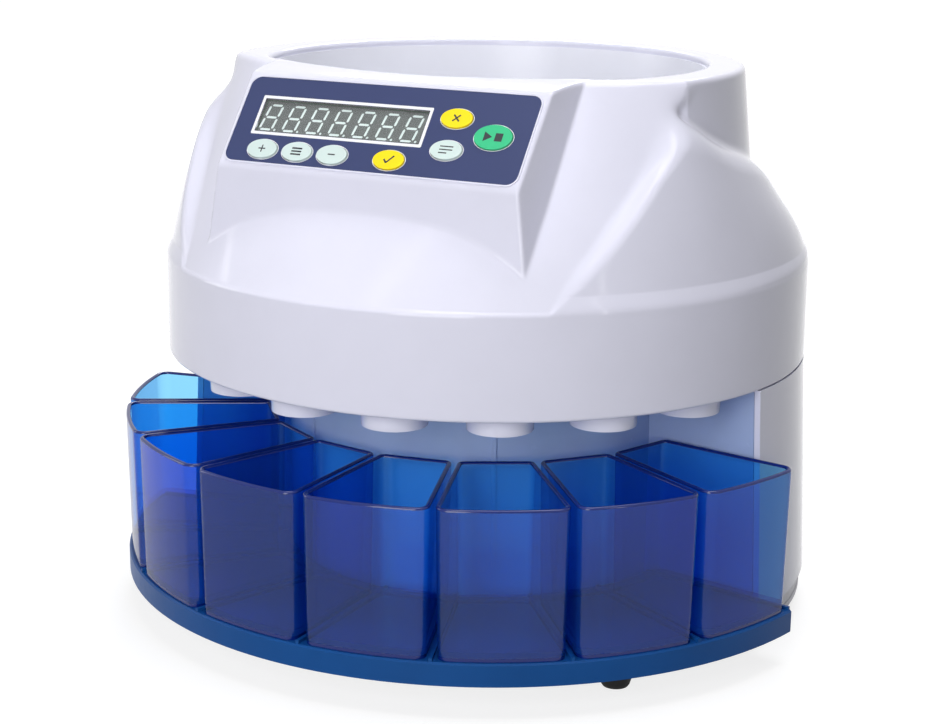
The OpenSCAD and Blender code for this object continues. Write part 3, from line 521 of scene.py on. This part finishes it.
def front_distance(x, y, z, dots):
    """Distance to the cone that goes from the skirt's circle to the neck's flat front."""
    t = np.clip((z - SKIRT_TOP) / (TOP - SKIRT_TOP), 0, 1)
    cone = peak(dots - (1 - t)[:, None] * SKIRT_R - t[:, None] * NECK_REACH)
    arc = np.sqrt(np.maximum(SKIRT_R ** 2 - x ** 2, 0))
    ruled = (-y - (1 - t) * arc - t * NECK_FRONT) * math.cos(CREASE_SLOPE)
    return smax(cone, ruled, FRONT_BLEND * grown(z, FRONT_BLEND_H, least=0.003))


def shoulder_distance(rho, forward, z):
    """Distance to the tilted ring of the shoulder and its straight side down to the skirt."""
    ring_r = RING_R * np.sqrt(1 - (forward * math.sin(RING_TILT)) ** 2)
    swell = RING_SWELL * np.exp(-((forward - SWELL_FORWARD) / SWELL_SPREAD) ** 2)
    ring_z = RING_Z + RING_R * forward * math.sin(RING_TILT) + swell
    edge_r = SKIRT_R - BAND_IN
    edge_z = SKIRT_TOP + BAND_H
    in_r = edge_r - ring_r
    up_z = ring_z - edge_z
    lean = math.pi - np.arctan2(up_z, in_r) - np.arccos(-SHOULDER_R / np.hypot(in_r, up_z))
    tangent = (rho - edge_r) * np.cos(lean) + (z - edge_z) * np.sin(lean)
    slope = math.atan2(BAND_IN, BAND_H)
    band = (rho - SKIRT_R) * math.cos(slope) + (z - SKIRT_TOP) * math.sin(slope)
    side = smax(band, tangent, BAND_BLEND * grown(z, BAND_BLEND, least=0.02))
    side = np.maximum(rho - SKIRT_R, side)
    angle = np.arctan2(z - ring_z, rho - ring_r)
    crown = np.hypot(rho - ring_r, z - ring_z) - SHOULDER_R
    crown = np.where(angle > math.pi / 2, z - ring_z - SHOULDER_R, crown)
    return np.where(angle > lean, crown, side)


def console_distance(x, y, z):
    """Distance to the wedge that carries the sloped panel."""
    tilt_c = math.cos(PANEL_TILT)
    tilt_s = math.sin(PANEL_TILT)
    face = (y - PANEL_Y) * -tilt_s + (z - PANEL_Z) * tilt_c
    half = PANEL_H / 2 + PANEL_BORDER
    low_y = PANEL_Y - half * tilt_c
    low_z = PANEL_Z - half * tilt_s
    lean = math.atan2(low_y - CONSOLE_FOOT_Y, low_z - CONSOLE_FOOT_Z)
    apron = -(y - low_y) * math.cos(lean) + (z - low_z) * math.sin(lean)
    corner_x, corner_y, corner_z = CONSOLE_CORNER
    side = np.abs(x) - CONSOLE_FLARE * (y - corner_y) + CONSOLE_LEAN * (z - corner_z) - corner_x
    side = side / CONSOLE_SIDE_GRADE
    lid = z - (PANEL_Z + half * tilt_s) - LID_SLOPE * (y - LID_FRONT_Y)
    wedge = smax(smax(face, apron, CONSOLE_BLEND), side, CONSOLE_BLEND)
    wedge = smax(wedge, lid, LID_BLEND)
    return np.maximum(np.maximum(wedge, SKIRT_TOP - CONSOLE_SINK - z), y - CONSOLE_BACK_Y)


def cover_distance(x, y, z):
    """Distance to the cover's outside, negative inside."""
    rho = np.hypot(x, y)
    forward = -y / np.maximum(rho, 1e-6)
    dots = np.abs(x)[:, None] * NORMALS[0] + y[:, None] * NORMALS[1]
    front = front_distance(x, y, z, dots)
    neck = peak(dots - NECK_REACH) - (TOP - z) * math.tan(NECK_DRAFT)
    rear = smin(shoulder_distance(rho, forward, z), neck, NECK_BLEND)
    behind = (y - CREASE_Y) * math.cos(CREASE_SLOPE) - (z - CREASE_Z) * math.sin(CREASE_SLOPE)
    soft = CREASE_BLEND * grown(z, CREASE_BLEND_H, least=0.02)
    soft = soft + CREASE_TOP_BLEND * np.clip((z - CREASE_TOP_START) / CREASE_TOP_H, 0, 1)
    ahead = smax(smax(front, z - TOP, RIM_BLEND), behind, soft)
    astern = smax(smax(rear, z - TOP, RIM_BLEND), -behind, soft)
    share = grown(z, SKIRT_BLEND_H, least=0)
    body = share * smin(ahead, astern, soft) + (1 - share) * (rho - SKIRT_R)
    console = smax(console_distance(x, y, z), z - TOP, RIM_BLEND)
    return smin(body, console, CONSOLE_FOOT_BLEND)


def mouth_radius(phi):
    """Distance from the axis to the hopper's mouth at angle phi from the front."""
    c = -np.cos(phi)
    b = MOUTH_SHIFT * c
    round_r = b + np.sqrt(b * b - MOUTH_SHIFT ** 2 + MOUTH_R ** 2)
    centre = MOUTH_FRONT_R - MOUTH_FRONT
    b = centre * c
    front_r = b + np.sqrt(b * b - centre ** 2 + MOUTH_FRONT_R ** 2)
    return smin(round_r, front_r, MOUTH_BLEND)


def panel_coords(x, y, z):
    """Place along the panel's width, up its slope and out of it."""
    dy = y - PANEL_Y
    dz = z - PANEL_Z
    c = math.cos(PANEL_TILT)
    s = math.sin(PANEL_TILT)
    return x, dy * c + dz * s, dz * c - dy * s


def cover_skin(phi):
    """Rows of points on the cover's outside, found by halving along rays from the heart."""
    low = math.atan2(SKIRT_LOW + SKIRT_EDGE - HEART_Z, SKIRT_R)
    high = np.arctan2(TOP - RIM_SETBACK - HEART_Z, mouth_radius(phi) + MOUTH_LIP)
    rise = low + (high - low)[None, :] * np.linspace(0, 1, SKIN_ROWS)[:, None]
    ray_x = (np.cos(rise) * np.sin(phi)).ravel()
    ray_y = (-np.cos(rise) * np.cos(phi)).ravel()
    ray_z = np.sin(rise).ravel()
    near = np.full(ray_x.shape, NEAREST)
    far = np.full(ray_x.shape, FARTHEST)
    for _ in range(HALVINGS):
        mid = (near + far) / 2
        inside = cover_distance(ray_x * mid, ray_y * mid, HEART_Z + ray_z * mid) < 0
        near = np.where(inside, mid, near)
        far = np.where(inside, far, mid)
    points = np.stack([ray_x * near, ray_y * near, HEART_Z + ray_z * near], 1)
    return points.reshape(SKIN_ROWS, len(phi), 3)


def make_cover():
    """Cover from the inside of its skirt, over the skin, to the lip of the mouth."""
    phi = np.radians(np.concatenate([np.arange(*FINE_ARC), np.arange(*COARSE_ARC)]))

    def ring(radius, z):
        return np.stack([radius * np.sin(phi), -radius * np.cos(phi), np.zeros(len(phi)) + z], 1)

    inner_r = SKIRT_R - COVER_WALL
    foot = [ring(inner_r, SKIRT_LOW + SKIRT_LINING_H), ring(inner_r, SKIRT_LOW),
            ring(SKIRT_R - SKIRT_EDGE, SKIRT_LOW),
            ring(SKIRT_R - SKIRT_EDGE_CUT, SKIRT_LOW + SKIRT_EDGE_CUT)]
    skin = cover_skin(phi)
    edge_r = np.hypot(skin[-1, :, 0], skin[-1, :, 1])
    edge_z = skin[-1, :, 2]
    rim = []
    for a in np.radians(RIM_TURNS):
        rim.append(ring(edge_r - MOUTH_LIP * math.sin(a), edge_z - MOUTH_LIP * (1 - math.cos(a))))
    rim.append(ring(edge_r - MOUTH_LIP, TOP - COVER_WALL - RIM_TUCK))
    grid = np.concatenate([np.array(foot), skin, np.array(rim)])
    points = grid.reshape(-1, 3)
    index = np.arange(len(points)).reshape(grid.shape[:2])
    following = np.roll(index, -1, axis=1)
    quads = np.stack([index[:-1], following[:-1], following[1:], index[1:]], 2).reshape(-1, 4)
    u, v, w = panel_coords(*points[quads].mean(1).T)
    under_panel = (np.abs(u) < PANEL_W / 2 - PANEL_LAP) & (np.abs(v) < PANEL_H / 2 - PANEL_LAP)
    under_panel &= np.abs(w) < PANEL_DEPTH
    mesh = smooth_mesh("top_cover_skin", points, quads[~under_panel].tolist())
    mesh.validate()
    return add_object("top_cover_skin", mesh)


cover = place(make_cover(), white, "chassis")
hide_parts("top_cover")


# Clear cups with thin walls and solid rims
def cup_outline(inset):
    """Plan outline of a cup that faces the front, moved in by an inset."""
    half = CUP_PITCH / 2
    gap = CUP_GAP / 2 + inset
    front = CUP_FRONT - inset
    corner = max(CUP_CORNER - inset, CUP_LEAST_CORNER)
    back_corner = max(CUP_BACK_CORNER - inset, CUP_LEAST_CORNER)
    along = np.array([math.sin(half), -math.cos(half)])
    inward = np.array([-math.cos(half), -math.sin(half)])
    front_s = math.sqrt((front - corner) ** 2 - (gap + corner) ** 2)
    back_s = (CUP_BACK + inset + back_corner - (gap + back_corner) * math.sin(half)) / math.cos(half)
    turn = half - math.asin((gap + corner) / (front - corner))
    square = math.pi / 2 + half
    step = turn / CUP_FRONT_STEPS

    def arc(centre, radius, a0, a1, count):
        a = np.linspace(a0, a1, count)
        return np.stack([centre[0] + radius * np.sin(a), centre[1] - radius * np.cos(a)], 1)

    right = np.concatenate([
        arc((0, 0), front, step, turn - step, CUP_FRONT_STEPS - 1),
        arc(front_s * along + (gap + corner) * inward, corner, turn, square, CUP_CORNER_POINTS),
        arc(back_s * along + (gap + back_corner) * inward, back_corner, square, math.pi, CUP_BACK_POINTS)])
    return np.concatenate([right, right[::-1] * [-1, 1]])


def cup_loop(inset, height):
    """Outline of a cup at a height above its foot, with the draft of its walls."""
    outline = cup_outline(inset + (CUP_H - height) * math.tan(CUP_DRAFT))
    return np.column_stack([outline, np.full(len(outline), CUP_LOW + height)])


def make_cup(number):
    """One cup: a single sheet with a solid foot and a round rim, and a floor."""
    r = CUP_WALL / 2
    wall = [cup_loop(0.0, 0.0), cup_loop(0.0, CUP_FOOT_BAND), cup_loop(0.0, CUP_H - r)]
    rim = []
    for a in np.linspace(0, math.pi, CUP_RIM_LOOPS):
        rim.append(cup_loop(r - r * math.cos(a), CUP_H - r + r * math.sin(a)))
    floor = cup_loop(CUP_FLOOR_GAP, CUP_FLOOR_H)
    count = len(floor)
    points = np.concatenate(wall + rim + [floor])
    rows = len(wall) + len(rim)
    faces = []
    mats = []
    for row in range(rows - 1):
        # The wall's last loop and the rim's first lie on each other
        if row == len(wall) - 1:
            continue
        solid = row == 0 or row >= len(wall)
        for i in range(count):
            j = (i + 1) % count
            faces.append((row * count + i, row * count + j, (row + 1) * count + j, (row + 1) * count + i))
            mats.append(1 if solid else 0)
    faces.append(tuple(range(rows * count, (rows + 1) * count)))
    mats.append(0)
    angle = (number - (CUP_COUNT + 1) / 2) * CUP_PITCH
    c = math.cos(angle)
    s = math.sin(angle)
    x, y, z = points.T
    name = f"coin_cup_{number}"
    mesh = smooth_mesh(name + "_clear", np.stack([x * c - y * s, x * s + y * c, z], 1), faces)
    mesh.materials.append(clear_blue)
    mesh.materials.append(cup_edge)
    mesh.polygons.foreach_set("material_index", mats)
    mesh.set_sharp_from_angle(angle=CUP_SHARP_ANGLE)
    obj = add_object(name + "_clear", mesh)
    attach(obj, name)
    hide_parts(name)


for cup_number in range(1, CUP_COUNT + 1):
    make_cup(cup_number)


# Prints on the panel
def panel_point(u, v, w):
    """Place of a point given across the panel, up its slope and out of it."""
    c = math.cos(PANEL_TILT)
    s = math.sin(PANEL_TILT)
    return Vector((u, AXIS_Y + PANEL_Y + v * c - w * s, PANEL_Z + v * s + w * c)) / MM_PER_M


def panel_loop(bm, outline, w):
    return [bm.verts.new(panel_point(u, v, w)) for u, v in outline]


def bridge(bm, a, b):
    """Faces between two loops with the same number of points."""
    for i in range(len(a)):
        j = (i + 1) % len(a)
        bm.faces.new((a[i], a[j], b[j], b[i]))


def prisms(name, outlines, w0, w1):
    """Thin upright prisms on the panel, one for each outline."""
    bm = bmesh.new()
    for outline in outlines:
        lower = panel_loop(bm, outline, w0)
        upper = panel_loop(bm, outline, w1)
        bm.faces.new(upper)
        bm.faces.new(lower[::-1])
        bridge(bm, lower, upper)
    bmesh.ops.recalc_face_normals(bm, faces=bm.faces)
    return object_from(name, bm)


def ring_prism(name, inner, outer, w0, w1):
    """Band between two outlines with the same number of points."""
    bm = bmesh.new()
    loops = [panel_loop(bm, inner, w0), panel_loop(bm, outer, w0),
             panel_loop(bm, outer, w1), panel_loop(bm, inner, w1)]
    for k in range(4):
        bridge(bm, loops[k], loops[(k + 1) % 4])
    bmesh.ops.recalc_face_normals(bm, faces=bm.faces)
    return object_from(name, bm)


def ellipse(u, v, w, h, count=64):
    step = 2 * math.pi / count
    return [(u + w / 2 * math.cos(i * step), v + h / 2 * math.sin(i * step)) for i in range(count)]


def rounded(u, v, w, h, r, count=8):
    """Rectangle with round corners."""
    points = []
    for k, (sx, sy) in enumerate(((1, 1), (-1, 1), (-1, -1), (1, -1))):
        for i in range(count + 1):
            a = math.pi / 2 * (k + i / count)
            points.append((u + sx * (w / 2 - r) + r * math.cos(a), v + sy * (h / 2 - r) + r * math.sin(a)))
    return points


def bar(u0, v0, u1, v1, width):
    """Straight stroke with square ends."""
    d = Vector((u1 - u0, v1 - v0)).normalized() * width / 2
    return [(u0 - d.y, v0 + d.x), (u0 + d.y, v0 - d.x), (u1 + d.y, v1 - d.x), (u1 - d.y, v1 + d.x)]


# Plain signs, from the middle of each key
KEY_SIGNS = {
    "plus_key": [bar(-1.8, 0, -0.3, 0, 0.6), bar(0.3, 0, 1.8, 0, 0.6), bar(0, -1.8, 0, 1.8, 0.6)],
    "minus_key": [bar(-1.8, 0, 1.8, 0, 0.6)],
    "batch_key": [bar(-2.6, v, 2.6, v, 0.8) for v in (-1.5, 0, 1.5)],
    "set_key": [bar(-2.2, 0.1, -0.6, -1.7, 0.8), bar(-0.7, -1.6, 2.4, 2, 0.8)],
    "clear_key": [bar(-1.6, -1.6, 1.6, 1.6, 0.8), bar(-1.6, 1.6, -0.3, 0.3, 0.8),
                  bar(0.3, -0.3, 1.6, -1.6, 0.8)],
    "report_key": [bar(-3.2, 1.6, 3.2, 1.6, 0.55), bar(-3.2, 0, 3.2, 0, 0.55),
                   bar(-3.2, -1.6, 0.8, -1.6, 0.55)],
    "start_key": [[(-4.4, -2.4), (-0.4, 0), (-4.4, 2.4)], [(0.9, -2), (4.5, -2), (4.5, 2), (0.9, 2)]],
}
key_top = PANEL_PROUD + KEY_PROUD
for name, sign in KEY_SIGNS.items():
    u, v, w, h = KEYS[name]
    outlines = [[(u + du, v + dv) for du, dv in outline] for outline in sign]
    place(prisms(name + "_sign", outlines, key_top - PRINT_SINK, key_top + SIGN_T), ink, name)
    hoop = ring_prism(name + "_ring", ellipse(u, v, w + HOOP_INNER, h + HOOP_INNER),
                      ellipse(u, v, w + HOOP_OUTER, h + HOOP_OUTER),
                      PANEL_PROUD - PRINT_SINK, PANEL_PROUD + HOOP_T)
    place(hoop, print_white, "chassis")

inner_edge = rounded(0, 0, PANEL_W + BEZEL_INNER, PANEL_H + BEZEL_INNER, BEZEL_INNER_CORNER)
outer_edge = rounded(0, 0, PANEL_W + BEZEL_OUTER, PANEL_H + BEZEL_OUTER, BEZEL_OUTER_CORNER)
bezel = ring_prism("panel_bezel", inner_edge, outer_edge, -BEZEL_SINK, PANEL_PROUD + BEZEL_T)
place(bezel, white, "chassis")
inner_edge = rounded(DISPLAY_U, DISPLAY_V, DISPLAY_W + LINE_INNER, DISPLAY_H + LINE_INNER, LINE_INNER_CORNER)
outer_edge = rounded(DISPLAY_U, DISPLAY_V, DISPLAY_W + LINE_OUTER, DISPLAY_H + LINE_OUTER, LINE_OUTER_CORNER)
frame_line = ring_prism("display_frame", inner_edge, outer_edge, PANEL_PROUD - PRINT_SINK,
                        PANEL_PROUD + LINE_T)
place(frame_line, print_white, "chassis")


def digit(u, v):
    """Outlines of the seven segments and the point of one leaning digit, from its lower left corner."""
    half = DIGIT_H / 2
    cut = SEGMENT_W / 2

    def flat(y):
        return [(cut, y), (2 * cut, y + cut), (DIGIT_W - 2 * cut, y + cut), (DIGIT_W - cut, y),
                (DIGIT_W - 2 * cut, y - cut), (2 * cut, y - cut)]

    def upright(x, y0):
        y1 = y0 + half
        return [(x, y0 + cut), (x + cut, y0 + 2 * cut), (x + cut, y1 - 2 * cut), (x, y1 - cut),
                (x - cut, y1 - 2 * cut), (x - cut, y0 + 2 * cut)]

    outlines = [flat(0), flat(half), flat(DIGIT_H), upright(0, 0), upright(0, half), upright(DIGIT_W, 0),
                upright(DIGIT_W, half), ellipse(DIGIT_W + POINT_OUT, 0, POINT_D, POINT_D, POINT_SIDES)]
    lean = math.tan(DIGIT_LEAN)
    return [[(u + x + y * lean, v + y) for x, y in outline] for outline in outlines]


segments = []
for k in range(DIGIT_COUNT):
    segments += digit(FIRST_DIGIT_U + DIGIT_PITCH * k, FIRST_DIGIT_V)
display_face = PANEL_PROUD - WINDOW_T - WINDOW_GAP
digits = prisms("display_segments", segments, display_face - DIGIT_SINK, display_face + DIGIT_T)
place(digits, segment, "chassis")


# Closed ends of the flat behind the sockets
def flat_end(name, side):
    bm = bmesh.new()
    bmesh.ops.create_cube(bm, size=1 / MM_PER_M)
    bmesh.ops.scale(bm, vec=FLAT_END_SIZE, verts=bm.verts)
    middle = Vector((side * FLAT_END_X, AXIS_Y + FLAT_END_Y, FLAT_END_Z)) / MM_PER_M
    bmesh.ops.translate(bm, vec=middle, verts=bm.verts)
    return object_from(name, bm)


for name, side in (("flat_end_left", -1), ("flat_end_right", 1)):
    place(flat_end(name, side), white, "chassis")


# Stage
def seen_directly(tree):
    """Number that is 1 for rays straight from the camera, off gloss or through glass, else 0."""
    path = add_node(tree, "LightPath")
    value = path.outputs["Is Camera Ray"]
    for ray in ("Is Glossy Ray", "Is Transmission Ray"):
        most = add_node(tree, "Math")
        most.operation = "MAXIMUM"
        tree.links.new(value, most.inputs[0])
        tree.links.new(path.outputs[ray], most.inputs[1])
        value = most.outputs["Value"]
    return value


def add_floor():
    """Pale floor that is whiter away from the part, so that the shadow shows round its foot."""
    bm = bmesh.new()
    bmesh.ops.create_grid(bm, x_segments=1, y_segments=1, size=15)
    floor = object_from("floor", bm)
    mat = new_material("floor", (0.28, 0.28, 0.285))
    tree = mat.node_tree
    link = tree.links.new
    shader = tree.nodes["Principled BSDF"]
    shader.inputs["Base Color"].default_value = mat.diffuse_color
    shader.inputs["Roughness"].default_value = 0.8
    shader.inputs["Specular IOR Level"].default_value = 0.1
    shader.inputs["Emission Color"].default_value = (1, 1, 1, 1)
    coords = add_node(tree, "TexCoord")
    away = add_node(tree, "VectorMath")
    away.operation = "LENGTH"
    link(coords.outputs["Object"], away.inputs[0])
    glow = add_node(tree, "MapRange", From_Min=0.15, From_Max=1.0, To_Min=0.8, To_Max=1.0)
    glow.interpolation_type = "SMOOTHSTEP"
    link(away.outputs["Value"], glow.inputs["Value"])
    lift = add_node(tree, "Math")
    lift.operation = "MULTIPLY"
    link(seen_directly(tree), lift.inputs[0])
    link(glow.outputs["Result"], lift.inputs[1])
    link(lift.outputs["Value"], shader.inputs["Emission Strength"])
    floor.data.materials.append(mat)


def add_world():
    """White surroundings that the camera sees and that hardly light the part."""
    world = bpy.data.worlds.new("studio")
    scene.world = world
    world.use_nodes = True
    tree = world.node_tree
    back = tree.nodes["Background"]
    back.inputs["Color"].default_value = (1, 1, 1, 1)
    level = add_node(tree, "MapRange", To_Min=0.03, To_Max=1.0)
    tree.links.new(seen_directly(tree), level.inputs["Value"])
    tree.links.new(level.outputs["Result"], back.inputs["Strength"])


def add_softbox(name, place_at, aim, size, power):
    """Lamp with a bright rectangle, in metres and watts."""
    light = bpy.data.lights.new(name, "AREA")
    light.shape = "RECTANGLE"
    light.size, light.size_y = size
    light.energy = power
    obj = add_object(name, light)
    obj.location = place_at
    obj.rotation_euler = (Vector(aim) - Vector(place_at)).to_track_quat("-Z", "Y").to_euler()


def add_camera():
    level = Vector((-math.sin(CAMERA_HEADING), math.cos(CAMERA_HEADING), 0))
    right = Vector((math.cos(CAMERA_HEADING), math.sin(CAMERA_HEADING), 0))
    up = Vector((0, 0, 1))
    ahead = level * math.cos(CAMERA_PITCH) - up * math.sin(CAMERA_PITCH)
    above = up * math.cos(CAMERA_PITCH) + level * math.sin(CAMERA_PITCH)
    side = right * math.cos(CAMERA_ROLL) + above * math.sin(CAMERA_ROLL)
    above = above * math.cos(CAMERA_ROLL) - right * math.sin(CAMERA_ROLL)
    data = bpy.data.cameras.new("camera")
    data.sensor_width = SENSOR_W
    data.sensor_fit = "HORIZONTAL"
    data.lens = FOCAL_PIXELS / PHOTO_PIXELS * SENSOR_W
    data.clip_end = 100
    camera = add_object("camera", data)
    turn = Matrix((side, above, -ahead)).transposed().to_4x4()
    camera.matrix_world = Matrix.Translation(CAMERA_AT) @ turn
    scene.camera = camera


add_floor()
add_world()
add_softbox("front_box", (0.2, -1.28, 0.5), (0.0, 0.0, 0.4), (0.65, 1.0), 12)
add_softbox("left_box", (-2.05, -0.55, 0.7), (0.0, 0.0, 0.2), (0.8, 1.2), 8)
add_softbox("side_strip", (1.55, -0.69, 0.8), (0.0, 0.0, 0.8), (0.035, 1.6), 1.3)
add_softbox("top_box", (0.14, 0.02, 1.5), (0.0, 0.0, 0.2), (0.9, 0.9), 14)
add_softbox("accent", (-0.38, -0.54, 1.45), (0.02, -0.1, 0.2), (0.14, 0.4), 0.3)
add_softbox("back_box", (-0.6, 1.5, 1.5), (0.0, 0.0, 0.15), (1.0, 1.0), 22)
add_camera()
scene.view_settings.view_transform = "Standard"
